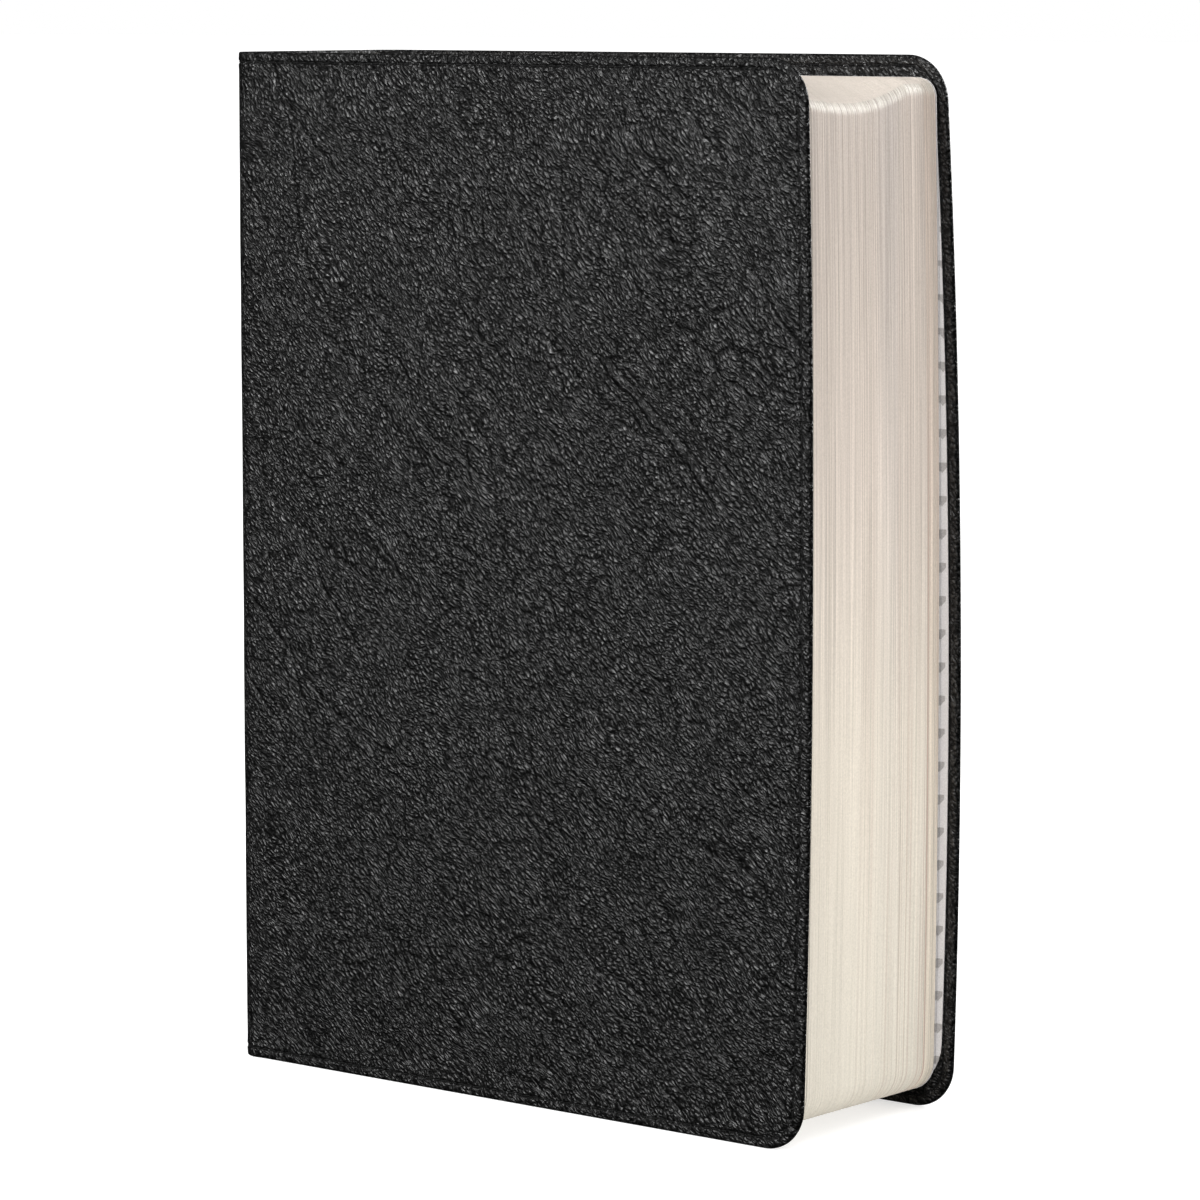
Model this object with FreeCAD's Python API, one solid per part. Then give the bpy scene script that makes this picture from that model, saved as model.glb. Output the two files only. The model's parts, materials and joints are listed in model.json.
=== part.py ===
"""A closed leather-bound Bible standing on its tail edge, as separate bound pieces.

Row frame, millimetres: origin at the middle of the footprint, +Z from tail to head, the front cover
faces -Y, the back cover +Y, the spine -X and the fore-edge +X. Every leaf, board and skin is flat in
the XZ plane, so an outline drawn in XZ and extruded along Y makes it. The front half and the back half
are mirror images about the XZ plane.
"""
import FreeCAD, Part
import math
import os

from FreeCAD import Vector

# ---------------------------------------------------------------- driving dimensions
COVER_HEIGHT = 241.0
COVER_WIDTH = 169.5
BOOK_THICKNESS = 57.5
COVER_CORNER_RADIUS = 10.5
COVER_BOW = 2.0                # how far the middle of the fore-edge stands out past its corners

LEATHER = 0.9
TURN_IN = 0.8                  # leather folded back over the edge; the stiffener card is as thick
TURN_IN_WIDTH = 12.0
PASTEDOWN = 0.2
PASTEDOWN_MARGIN = 2.6         # its fore-edge to the cover's; it is as tall as the pages
SHOULDER_RADIUS = 5.5          # the rounded corner between spine and cover

STITCH_MARGIN = 2.4            # thread line to cover edge
THREAD_WIDTH = 0.5
THREAD_DEPTH = 0.3             # the thread is drawn down into the leather until it lies flush

HEAD_SQUARE = 5.0              # page head to cover head
TAIL_SQUARE = 3.8
FORE_SQUARE = 4.4              # page fore-edge to cover fore-edge at mid-height
PAGE_CORNER_RADIUS = 8.0
PAGE_BOW = 1.2
FIXED_SECTIONS = 22
TURNING_SECTIONS = 2           # at the front, and as many at the back

FLYLEAF = 0.3
RUNNING_GAP = 0.3              # between things that move past each other

FLYLEAF_FOLD_INSET = 7.0       # cover hinge to the line where the flyleaf folds
FIRST_FOLD_STEP = 3.0          # flyleaf fold to the first turning section's fold
FOLD_STEP = 3.5                # from one turning section's fold to the next
FOLD_GAP = 0.5                 # a turning section's rounded end to its sewn gutter

SPINE_CARD = 0.6
HOLLOW_TUBE = 1.0
HOLLOW_TUBE_WALL = 0.3
MULL = 0.4
TAPE = 0.35
TAPE_WIDTH = 14.0
TAPE_HEIGHTS = (38.0, 90.0, 145.0, 200.0)
SEWING_THREAD = 0.4
KETTLE_INSET = 12.0            # kettle stitches to the page head and tail
HEADBAND_RADIUS = 1.1
MULL_MARGIN = 16.0             # the gauze stops short of head and tail

# ---------------------------------------------------------------- worked-out places
COVER_THICKNESS = LEATHER + TURN_IN + PASTEDOWN
SPINE_X = -COVER_WIDTH / 2
FORE_X = COVER_WIDTH / 2
OUTER_Y = BOOK_THICKNESS / 2               # the back cover's outer face; the front's is its negative
HINGE_X = SPINE_X + SHOULDER_RADIUS

PAGE_LOW = TAIL_SQUARE
PAGE_HIGH = COVER_HEIGHT - HEAD_SQUARE
PAGE_FORE_X = FORE_X - FORE_SQUARE
CARD_X = SPINE_X + LEATHER
TUBE_X = CARD_X + SPINE_CARD
MULL_X = TUBE_X + HOLLOW_TUBE
THREAD_X = MULL_X + MULL
TAPE_X = THREAD_X + SEWING_THREAD
SEWN_FOLD_X = TAPE_X + TAPE                # the backs of all the sections

FLYLEAF_FOLD_X = HINGE_X + FLYLEAF_FOLD_INSET
FLYLEAF_Y = OUTER_Y - COVER_THICKNESS - RUNNING_GAP - FLYLEAF / 2
SEWN_HALF = FLYLEAF_Y - FLYLEAF / 2 - RUNNING_GAP           # half thickness of all sewn sections
TURNING_GAPS = TURNING_SECTIONS * RUNNING_GAP
SECTION = 2 * (SEWN_HALF - TURNING_GAPS) / (FIXED_SECTIONS + 2 * TURNING_SECTIONS)
BLOCK_HALF = FIXED_SECTIONS * SECTION / 2

SIDES = {"front": -1, "back": 1}


# ---------------------------------------------------------------- outlines and helpers
def leaf_outline(spine_x, fore_x, low, high, corner, bow):
    """Face in the XZ plane: square at the spine side, two rounded corners and a bowed fore-edge."""
    edge_x = fore_x - bow
    middle = (low + high) / 2
    diagonal = corner * (1 - math.sqrt(0.5))
    tail_start = Vector(edge_x - corner, 0, low)
    tail_end = Vector(edge_x, 0, low + corner)
    head_start = Vector(edge_x, 0, high - corner)
    head_end = Vector(edge_x - corner, 0, high)
    edges = [
        Part.LineSegment(Vector(spine_x, 0, low), tail_start).toShape(),
        Part.Arc(tail_start, Vector(edge_x - diagonal, 0, low + diagonal), tail_end).toShape(),
        Part.Arc(tail_end, Vector(fore_x, 0, middle), head_start).toShape(),
        Part.Arc(head_start, Vector(edge_x - diagonal, 0, high - diagonal), head_end).toShape(),
        Part.LineSegment(head_end, Vector(spine_x, 0, high)).toShape(),
        Part.LineSegment(Vector(spine_x, 0, high), Vector(spine_x, 0, low)).toShape(),
    ]
    return Part.Face(Part.Wire(edges))


def slab(outline, y_from, y_to):
    """The outline extruded between two Y planes, given in either order."""
    face = outline.copy()
    face.translate(Vector(0, min(y_from, y_to), 0))
    return face.extrude(Vector(0, abs(y_to - y_from), 0))


def box(x_range, y_range, z_range):
    """A box between the two values of each range, given in either order."""
    corner = Vector(min(x_range), min(y_range), min(z_range))
    sizes = [abs(pair[1] - pair[0]) for pair in (x_range, y_range, z_range)]
    return Part.makeBox(sizes[0], sizes[1], sizes[2], corner)


def cover_outline(inset, spine_x):
    """The cover's outline, drawn in by inset on its three free edges."""
    radius = max(COVER_CORNER_RADIUS - inset, 2.0)
    return leaf_outline(spine_x, FORE_X - inset, inset, COVER_HEIGHT - inset, radius, COVER_BOW)


def page_outline(spine_x):
    """A page's outline from the given spine side to the trimmed fore-edge."""
    return leaf_outline(spine_x, PAGE_FORE_X, PAGE_LOW, PAGE_HIGH, PAGE_CORNER_RADIUS, PAGE_BOW)


def round_ended_leaves(end_x, y_middle, thickness):
    """Leaves whose spine end is a half-round fold, cut to the page outline."""
    radius = thickness / 2
    leaves = slab(page_outline(end_x + radius), y_middle - radius, y_middle + radius)
    fold = Part.makeCylinder(radius, PAGE_HIGH - PAGE_LOW, Vector(end_x + radius, y_middle, PAGE_LOW))
    return leaves.fuse(fold).removeSplitter()


def save(node, shape):
    """Write one node's solids to its own STEP file."""
    shape.exportStep(os.path.join("parts", node + ".step"))


# ---------------------------------------------------------------- covers
def cover_leather(side):
    """Outer leather with its edges turned in: a shallow pocket for the card, a groove for the thread."""
    start_x = HINGE_X + RUNNING_GAP
    outside = side * OUTER_Y
    inside = side * (OUTER_Y - LEATHER - TURN_IN)
    skin = slab(cover_outline(0.0, start_x), outside, inside)
    pocket = slab(cover_outline(TURN_IN_WIDTH, start_x), side * (OUTER_Y - LEATHER), inside)
    return skin.cut([pocket] + thread_lines(side))


def cover_card(side):
    """Stiffener card that fills the pocket inside the turned-in leather."""
    outline = cover_outline(TURN_IN_WIDTH, HINGE_X + RUNNING_GAP)
    return slab(outline, side * (OUTER_Y - LEATHER), side * (OUTER_Y - LEATHER - TURN_IN))


def pastedown(side):
    """Endpaper glued over the card and over most of the turned-in leather."""
    fore_x = FORE_X - PASTEDOWN_MARGIN
    outline = leaf_outline(HINGE_X + RUNNING_GAP, fore_x, PAGE_LOW, PAGE_HIGH, PAGE_CORNER_RADIUS, COVER_BOW)
    outer = OUTER_Y - LEATHER - TURN_IN
    return slab(outline, side * outer, side * (outer - PASTEDOWN))


def thread_band(y_from, y_to):
    """A thin band that follows the cover's three free edges."""
    start_x = HINGE_X + RUNNING_GAP
    outside = slab(cover_outline(STITCH_MARGIN - THREAD_WIDTH / 2, start_x), y_from, y_to)
    inside = slab(cover_outline(STITCH_MARGIN + THREAD_WIDTH / 2, start_x - 1.0), y_from, y_to)
    return outside.cut(inside)


def thread_lines(side):
    """Needle thread on the outer face and bobbin thread on the inner face."""
    inner = OUTER_Y - LEATHER - TURN_IN
    needle_thread = thread_band(side * OUTER_Y, side * (OUTER_Y - THREAD_DEPTH))
    bobbin_thread = thread_band(side * inner, side * (inner + THREAD_DEPTH))
    return [needle_thread, bobbin_thread]


def cover_stitching(side):
    """The edge stitching: both thread lines in one group."""
    return Part.makeCompound(thread_lines(side))


# ---------------------------------------------------------------- endpapers and turning leaves
def flyleaf(side):
    """The loose half of the endpaper, folded along a line beside the gutter."""
    return round_ended_leaves(FLYLEAF_FOLD_X - FLYLEAF / 2, side * FLYLEAF_Y, FLYLEAF)


def endpaper_joint(side):
    """The strip of endpaper glued down beside the spine, which the flyleaf folds from."""
    end_x = FLYLEAF_FOLD_X - FLYLEAF / 2 - RUNNING_GAP
    y_range = (side * SEWN_HALF, side * (FLYLEAF_Y + FLYLEAF / 2))
    return box((SEWN_FOLD_X + SECTION / 2, end_x), y_range, (PAGE_LOW, PAGE_HIGH))


def turning_fold_x(index):
    """Where a turning section folds; index 0 lies next to the flyleaf."""
    return FLYLEAF_FOLD_X + FIRST_FOLD_STEP + index * FOLD_STEP


def turning_y(side, index):
    """Middle plane of a turning section."""
    return side * (SEWN_HALF - SECTION / 2 - index * (SECTION + RUNNING_GAP))


def turning_leaves(side, index):
    """The part of an outer section's leaves that turns."""
    return round_ended_leaves(turning_fold_x(index) - SECTION / 2, turning_y(side, index), SECTION)


def gutter(side, index):
    """The sewn and glued part of an outer section, which stays with the spine and fills its gap."""
    radius = (SECTION + RUNNING_GAP) / 2
    y_middle = turning_y(side, index) - side * RUNNING_GAP / 2
    end_x = turning_fold_x(index) - SECTION / 2 - FOLD_GAP
    strip = box((SEWN_FOLD_X + radius, end_x), (y_middle - radius, y_middle + radius), (PAGE_LOW, PAGE_HIGH))
    fold_centre = Vector(SEWN_FOLD_X + radius, y_middle, PAGE_LOW)
    fold = Part.makeCylinder(radius, PAGE_HIGH - PAGE_LOW, fold_centre)
    return strip.fuse(fold).removeSplitter()


def fixed_section(index):
    """One sewn section in the middle of the text block, counted from the front."""
    return round_ended_leaves(SEWN_FOLD_X, (index + 0.5) * SECTION - BLOCK_HALF, SECTION)


# ---------------------------------------------------------------- spine
def spine_channel(depth):
    """Solid bounded by the spine's outer surface, drawn in by depth: flat, with quarter-round shoulders."""
    half = OUTER_Y - SHOULDER_RADIUS
    radius = SHOULDER_RADIUS - depth
    spine_x = SPINE_X + depth
    reach = radius * math.sqrt(0.5)
    front = [Vector(HINGE_X, -half - radius, 0), Vector(HINGE_X - reach, -half - reach, 0),
             Vector(spine_x, -half, 0)]
    back = [Vector(spine_x, half, 0), Vector(HINGE_X - reach, half + reach, 0),
            Vector(HINGE_X, half + radius, 0)]
    edges = [
        Part.Arc(*front).toShape(),
        Part.LineSegment(front[2], back[0]).toShape(),
        Part.Arc(*back).toShape(),
        Part.LineSegment(back[2], front[0]).toShape(),
    ]
    return Part.Face(Part.Wire(edges)).extrude(Vector(0, 0, COVER_HEIGHT))


def spine_thread_lines():
    """Thread bands round the spine near head and tail, drawn into its outer and inner surfaces."""
    surfaces = [
        spine_channel(0.0).cut(spine_channel(THREAD_DEPTH)),
        spine_channel(LEATHER - THREAD_DEPTH).cut(spine_channel(LEATHER)),
    ]
    bands = []
    for middle in (STITCH_MARGIN, COVER_HEIGHT - STITCH_MARGIN):
        z_range = (middle - THREAD_WIDTH / 2, middle + THREAD_WIDTH / 2)
        level = box((SPINE_X, HINGE_X), (-OUTER_Y, OUTER_Y), z_range)
        bands += [surface.common(level) for surface in surfaces]
    return bands


def spine_stitching():
    """The edge stitching where it runs across the spine."""
    return Part.makeCompound(spine_thread_lines())


def spine_leather():
    """One skin of even thickness round the flat spine and its shoulders, grooved for the thread."""
    skin = spine_channel(0.0).cut(spine_channel(LEATHER))
    return skin.cut(spine_thread_lines())


def spine_card():
    """Thin inlay that keeps the spine leather flat."""
    half = OUTER_Y - SHOULDER_RADIUS
    return box((CARD_X, TUBE_X), (-half, half), (TURN_IN, COVER_HEIGHT - TURN_IN))


def hollow_tube():
    """Flattened paper tube between the spine of the block and the spine of the cover."""
    half = OUTER_Y - SHOULDER_RADIUS
    wall = HOLLOW_TUBE_WALL
    tube = box((TUBE_X, MULL_X), (-half, half), (PAGE_LOW, PAGE_HIGH))
    hollow = box((TUBE_X + wall, MULL_X - wall), (wall - half, half - wall), (PAGE_LOW, PAGE_HIGH))
    return tube.cut(hollow)


def mull():
    """Gauze glued over the sewn backs of the sections."""
    y_range = (-SEWN_HALF, SEWN_HALF)
    return box((MULL_X, THREAD_X), y_range, (PAGE_LOW + MULL_MARGIN, PAGE_HIGH - MULL_MARGIN))


def sewing_tapes():
    """Linen tapes laid across the section folds."""
    tapes = []
    for z in TAPE_HEIGHTS:
        z_range = (z - TAPE_WIDTH / 2, z + TAPE_WIDTH / 2)
        tapes.append(box((TAPE_X, SEWN_FOLD_X), (-SEWN_HALF, SEWN_HALF), z_range))
    return Part.makeCompound(tapes)


def sewing_thread():
    """The thread's long stitches over each tape and the two rows of kettle stitches."""
    half = SEWN_HALF - SECTION / 2
    radius = SEWING_THREAD / 2
    over_tape_x = THREAD_X + radius
    kettle_x = SEWN_FOLD_X - radius
    across = Vector(0, 1, 0)
    threads = []
    for z in TAPE_HEIGHTS:
        for offset in (-TAPE_WIDTH / 4, TAPE_WIDTH / 4):
            start = Vector(over_tape_x, -half, z + offset)
            threads.append(Part.makeCylinder(radius, 2 * half, start, across))
    for z in (PAGE_LOW + KETTLE_INSET, PAGE_HIGH - KETTLE_INSET):
        start = Vector(kettle_x, -half, z)
        threads.append(Part.makeCylinder(radius, 2 * half, start, across))
    return Part.makeCompound(threads)


def headband(z_base, direction):
    """Rolled cloth band on the sewn folds, at the head (direction 1) or the tail (-1)."""
    half = SEWN_HALF - SECTION
    z_middle = z_base + direction * HEADBAND_RADIUS
    start = Vector(SEWN_FOLD_X + HEADBAND_RADIUS, -half, z_middle)
    return Part.makeCylinder(HEADBAND_RADIUS, 2 * half, start, Vector(0, 1, 0))


# ---------------------------------------------------------------- build every node
def build():
    os.makedirs("parts", exist_ok=True)
    for name, side in SIDES.items():
        save(name + "_cover_leather", cover_leather(side))
        save(name + "_cover_card", cover_card(side))
        save(name + "_cover_stitching", cover_stitching(side))
        save(name + "_pastedown", pastedown(side))
        save(name + "_flyleaf", flyleaf(side))
        save(name + "_endpaper_joint", endpaper_joint(side))
        for index in range(TURNING_SECTIONS):
            save("%s_section_%d_leaves" % (name, index + 1), turning_leaves(side, index))
            save("%s_section_%d_gutter" % (name, index + 1), gutter(side, index))
    for index in range(FIXED_SECTIONS):
        save("text_section_%02d" % (index + 1), fixed_section(index))
    save("spine_leather", spine_leather())
    save("spine_stitching", spine_stitching())
    save("spine_card", spine_card())
    save("spine_hollow_tube", hollow_tube())
    save("spine_mull", mull())
    save("sewing_tapes", sewing_tapes())
    save("sewing_thread", sewing_thread())
    save("headband", headband(PAGE_HIGH, 1))
    save("tailband", headband(PAGE_LOW, -1))


build()
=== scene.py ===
"""Looks of a leather-bound Bible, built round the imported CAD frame.

The leather, endpapers, leaves, thread and bands are made here as meshes in the frame's own
coordinates, in metres: +Z to the head, front cover towards -Y, fore-edge towards +X. A "side" is -1
for the front of the book and +1 for the back. Depth is measured inwards from a cover's outer face.
"""
import json
import math
import random

import bmesh
import bpy
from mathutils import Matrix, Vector, noise


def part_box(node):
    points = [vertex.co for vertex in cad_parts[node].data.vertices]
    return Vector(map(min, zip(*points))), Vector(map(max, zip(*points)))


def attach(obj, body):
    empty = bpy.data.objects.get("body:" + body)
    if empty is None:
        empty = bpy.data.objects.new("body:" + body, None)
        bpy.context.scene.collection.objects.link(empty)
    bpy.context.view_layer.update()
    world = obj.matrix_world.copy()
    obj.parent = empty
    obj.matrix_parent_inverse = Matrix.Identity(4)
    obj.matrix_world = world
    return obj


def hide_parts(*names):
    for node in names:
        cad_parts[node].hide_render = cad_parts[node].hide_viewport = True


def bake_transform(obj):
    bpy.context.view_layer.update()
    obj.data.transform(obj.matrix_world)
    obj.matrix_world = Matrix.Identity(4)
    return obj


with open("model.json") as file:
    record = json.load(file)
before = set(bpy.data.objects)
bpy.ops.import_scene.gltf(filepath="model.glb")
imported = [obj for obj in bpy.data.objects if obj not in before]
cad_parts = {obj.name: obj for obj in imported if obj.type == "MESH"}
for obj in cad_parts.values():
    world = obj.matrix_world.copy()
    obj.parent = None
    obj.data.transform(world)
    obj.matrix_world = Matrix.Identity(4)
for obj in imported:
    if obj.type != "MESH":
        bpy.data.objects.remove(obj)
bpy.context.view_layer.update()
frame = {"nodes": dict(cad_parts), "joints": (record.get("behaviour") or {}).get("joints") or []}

MM = 0.001
DICE = random.Random(11)

# ---- sizes read from the frame
SPINE_LOW, SPINE_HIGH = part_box("spine_leather")
COVER_LOW, COVER_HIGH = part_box("front_cover_leather")
PAGE_BOX_LOW, PAGE_BOX_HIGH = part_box("text_section_01")
HEIGHT = SPINE_HIGH.z
OUTER_Y = SPINE_HIGH.y
SPINE_X = SPINE_LOW.x
HINGE_X = SPINE_HIGH.x
FORE_X = COVER_HIGH.x
SHOULDER = HINGE_X - SPINE_X
SEWN_X = PAGE_BOX_LOW.x
PAGE_FORE_X = PAGE_BOX_HIGH.x
PAGE_LOW = PAGE_BOX_LOW.z
PAGE_HIGH = PAGE_BOX_HIGH.z
COVER_THICKNESS = COVER_HIGH.y - COVER_LOW.y
SPINE_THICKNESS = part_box("spine_card")[0].x - SPINE_X
JOINTS = {joint["name"]: joint for joint in frame["joints"]}
SIDES = {"front": -1, "back": 1}

# ---- the part's own driving sizes
COVER_CORNER = 10.5 * MM
COVER_BOW = 2.0 * MM
PAGE_CORNER = 8.0 * MM
PAGE_BOW = 1.2 * MM
STITCH_MARGIN = 2.4 * MM
STITCH_PITCH = 2.45 * MM
PASTEDOWN_MARGIN = 2.6 * MM
PASTEDOWN_CORNER = 11.0 * MM
PASTEDOWN = 0.2 * MM
HINGE_ZONE = (-1.5 * MM, 3.0 * MM)     # where the cover's leather bends, from the hinge line


# ---- how the limp book has settled
COVER_LEAN = 1.95 * MM         # the back cover's fore-edge leans back at the head, out at the tail
PAGE_LEAN = 0.95 * MM
BACK_REACH = 1.1 * MM          # the back stands out past the front
LEAN_HEIGHT = 110 * MM         # from the middle to where a lean is reached in full
FRONT_FLARE = 0.4              # mm that the front's corners stand out; the back's draw in by 0.6
FARTHEST_OUT = 1.05            # as a share of the way from hinge line to fore-edge


def settled(point, lean):
    """A point of the squared-up book moved to where the limp book carries it."""
    x, y, z = point
    out = min(max((x - HINGE_X) / (FORE_X - HINGE_X), 0.0), FARTHEST_OUT)
    back = (y + OUTER_Y) / (2 * OUTER_Y)
    t = (z - HEIGHT / 2) / LEAN_HEIGHT
    move = back * (BACK_REACH - lean * t)
    if lean == COVER_LEAN:
        move += (FRONT_FLARE - back) * MM * t * t
    return (x + out * move, y, z)


# ---- mesh helpers
BROAD_FACE = 0.9               # a face of a leaf whose normal is at least this much along Y


def make_object(name, vertices, faces, material, smooth=True, sharp_angle=None,
                lean=COVER_LEAN):
    """A mesh object with outward normals, linked to the scene, that keeps where its points rest."""
    mesh = bpy.data.meshes.new(name)
    mesh.from_pydata([settled(v, lean) for v in vertices], [], faces)
    work = bmesh.new()
    work.from_mesh(mesh)
    bmesh.ops.recalc_face_normals(work, faces=work.faces)
    work.to_mesh(mesh)
    work.free()
    mesh.polygons.foreach_set("use_smooth", [smooth] * len(mesh.polygons))
    if sharp_angle is not None:
        mesh.set_sharp_from_angle(angle=math.radians(sharp_angle))
    mesh.materials.append(material)
    rest_place = mesh.attributes.new("rest_place", "FLOAT_VECTOR", "POINT")
    for entry, vertex in zip(rest_place.data, mesh.vertices):
        entry.vector = vertex.co
    piece = bpy.data.objects.new(name, mesh)
    bpy.context.scene.collection.objects.link(piece)
    return piece


def lay_paper_faces(piece):
    """Plain paper on the broad faces of a part of the block: only its trimmed edges are gilt."""
    piece.data.materials.append(LEAF_PAPER)
    for face in piece.data.polygons:
        if abs(face.normal.y) > BROAD_FACE:
            face.material_index = 1


def spaced(start, end, count):
    """Evenly spaced values from start to end, both included."""
    return [start + (end - start) * i / (count - 1) for i in range(count)]


def smoothstep(low, high, value):
    """0 below low, 1 above high, and a smooth rise between."""
    t = min(max((value - low) / (high - low), 0.0), 1.0)
    return t * t * (3 - 2 * t)


# ---- cover leather
GROOVE_DEPTH, GROOVE_WIDTH = 0.44, 0.32        # in mm, like the next three
SWELL_HEIGHT, SWELL_WIDTH = 0.10, 1.4
GROOVE_LINES = (1.2, 1.5, 1.8, 2.0, 2.15, 2.28, 2.4, 2.52, 2.65, 2.8, 3.0)
HIDE_CALM = (3 * MM, 14 * MM)  # the hide's unevenness grows over these distances from an edge
RIM_STEPS = 6
MIDDLE_ROWS = 112
SPINE_COLUMNS = 40
SPINE_SWELL = 0.18 * MM
SHARP_EDGE = 60                # degrees


def fore_line(z):
    """The cover's fore-edge before its corners are rounded."""
    t = (z - HEIGHT / 2) / (HEIGHT / 2 - COVER_CORNER)
    return FORE_X - COVER_BOW * min(t * t, 1.0)


def cover_reach(z):
    """How far the cover reaches past the hinge line at height z, corners included."""
    reach = fore_line(z) - HINGE_X
    to_end = min(z, HEIGHT - z)
    if to_end < COVER_CORNER:
        left = COVER_CORNER ** 2 - (COVER_CORNER - to_end) ** 2
        reach -= COVER_CORNER - math.sqrt(max(left, 0.0))
    return reach


def edge_distance(along, z):
    """Distance from a point of the cover to its nearest free edge."""
    to_end = min(z, HEIGHT - z)
    to_fore = fore_line(z) - HINGE_X - along
    if to_end < COVER_CORNER and to_fore < COVER_CORNER:
        return COVER_CORNER - math.hypot(COVER_CORNER - to_fore, COVER_CORNER - to_end)
    return min(to_end, to_fore)


def skin_point(side, along, z, depth):
    """A point of the cover's skin: along is negative round the shoulder, positive on the flat."""
    if along >= 0:
        return (HINGE_X + along, side * (OUTER_Y - depth), z)
    turn = math.pi / 2 + along / SHOULDER
    radius = SHOULDER - depth
    centre_y = OUTER_Y - SHOULDER
    return (HINGE_X - radius * math.cos(turn), side * (centre_y + radius * math.sin(turn)), z)


def skin_thickness(along):
    """Two layers of leather on the cover, one round the shoulder and spine."""
    return SPINE_THICKNESS + (COVER_THICKNESS - SPINE_THICKNESS) * smoothstep(*HINGE_ZONE, along)


def edge_rounding(distance, thickness):
    """How far each face curves in towards the middle of the skin near a free edge."""
    radius = thickness / 2
    if distance >= radius:
        return 0.0
    return radius * (1 - math.sqrt(max(1 - (1 - distance / radius) ** 2, 0.0)))


def stitch_groove(distance):
    """The hollow that the thread pulls into the leather, and the slight swell each side of it."""
    across = (distance - STITCH_MARGIN) / MM
    hollow = GROOVE_DEPTH * math.exp(-(across / GROOVE_WIDTH) ** 2)
    return (hollow - SWELL_HEIGHT * math.exp(-(across / SWELL_WIDTH) ** 2)) * MM


def leather_swell(side, along, z, distance):
    """Slow unevenness of the hide, in metres of depth, none at the edges."""
    place = Vector((along * 22, side * 3.7, z * 22))
    wave = noise.noise(place) * 0.22 + noise.noise(place * 2.7) * 0.10
    return wave * MM * smoothstep(*HIDE_CALM, distance)


def outer_depth(side, along, z):
    """How deep the outer surface lies."""
    distance = edge_distance(along, z)
    rounding = edge_rounding(distance, skin_thickness(along))
    return rounding + stitch_groove(distance) + leather_swell(side, along, z, distance)


def inner_depth(along, z):
    """How deep the inner surface lies."""
    distance = edge_distance(along, z)
    thickness = skin_thickness(along)
    return thickness - edge_rounding(distance, thickness) - stitch_groove(distance)


def row_heights():
    """Heights of the mesh rows: close together at head and tail, even between."""
    radius = COVER_THICKNESS / 2
    ends = [radius * (1 - math.cos(a)) for a in spaced(0, math.pi / 2, RIM_STEPS)]
    ends += [e * MM for e in GROOVE_LINES + (3.4, 4.0, 5.0)]
    corner = spaced(math.radians(62), math.pi / 2, RIM_STEPS)
    ends += [COVER_CORNER * (1 - math.cos(a)) for a in corner]
    middle = spaced(COVER_CORNER, HEIGHT - COVER_CORNER, MIDDLE_ROWS)[1:-1]
    return ends + middle + [HEIGHT - e for e in reversed(ends)]


def column_places(z):
    """Places along one row, from the spine seam round the shoulder to the fore-edge."""
    reach = cover_reach(z)
    radius = COVER_THICKNESS / 2
    near = [e * MM for e in reversed(GROOVE_LINES + (3.5, 4.2, 5.2))]
    near += [radius * (1 - math.cos(a)) for a in spaced(math.pi / 2, 0, RIM_STEPS)]
    shoulder = spaced(-SHOULDER * math.pi / 2, HINGE_ZONE[0], 12)
    zone = spaced(*HINGE_ZONE, 13)[1:]
    flat = spaced(HINGE_ZONE[1], reach - 6.4 * MM, 76)[1:]
    return shoulder + zone + flat + [reach - e for e in near]


def stitched_skin(name, material, point_rows, seams):
    """A skin from rows of (outer point, inner point); on its rim there is no inner point.

    seams are the columns where a face closes the skin from its outer to its inner side.
    """
    vertices = []
    outer_rows = []
    inner_rows = []
    for points in point_rows:
        outer_row = []
        inner_row = []
        for outer, inner in points:
            outer_row.append(len(vertices))
            vertices.append(outer)
            if inner is not None:
                vertices.append(inner)
            inner_row.append(len(vertices) - 1)
        outer_rows.append(outer_row)
        inner_rows.append(inner_row)
    faces = []
    rows = zip(outer_rows, outer_rows[1:], inner_rows, inner_rows[1:])
    for lower, upper, low_in, high_in in rows:
        for i in range(len(lower) - 1):
            faces.append((lower[i], lower[i + 1], upper[i + 1], upper[i]))
            faces.append((low_in[i], high_in[i], high_in[i + 1], low_in[i + 1]))
        for i in seams:
            faces.append(tuple(dict.fromkeys((lower[i], upper[i], high_in[i], low_in[i]))))
    return make_object(name, vertices, faces, material, sharp_angle=SHARP_EDGE)


def cover_hide(name, side, material):
    """The leather of one cover and its shoulder, with a rounded edge all round."""
    point_rows = []
    rows = row_heights()
    for j, z in enumerate(rows):
        points = []
        places = column_places(z)
        for i, along in enumerate(places):
            if j in (0, len(rows) - 1) or i == len(places) - 1:
                middle = skin_thickness(along) / 2
                points.append((skin_point(side, along, z, middle), None))
            else:
                points.append((skin_point(side, along, z, outer_depth(side, along, z)),
                               skin_point(side, along, z, inner_depth(along, z))))
        point_rows.append(points)
    return stitched_skin(name, material, point_rows, seams=(0,))


def spine_hide(name, material):
    """The flat of the spine between the two shoulders."""
    half = OUTER_Y - SHOULDER
    across = spaced(-half, half, SPINE_COLUMNS)
    point_rows = []
    rows = row_heights()
    for j, z in enumerate(rows):
        distance = min(z, HEIGHT - z)
        dip = stitch_groove(distance)
        rounding = edge_rounding(distance, SPINE_THICKNESS)
        points = []
        for y in across:
            if j in (0, len(rows) - 1):
                points.append(((SPINE_X + SPINE_THICKNESS / 2, y, z), None))
                continue
            fade = smoothstep(0, 6 * MM, half - abs(y))
            swell = noise.noise(Vector((4.1, y * 30, z * 18))) * SPINE_SWELL * fade
            depth = rounding + dip + swell * smoothstep(0, 12 * MM, distance)
            points.append(((SPINE_X + depth, y, z),
                           (SPINE_X + SPINE_THICKNESS - rounding - dip, y, z)))
        point_rows.append(points)
    return stitched_skin(name, material, point_rows, seams=(0, -1))


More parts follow.
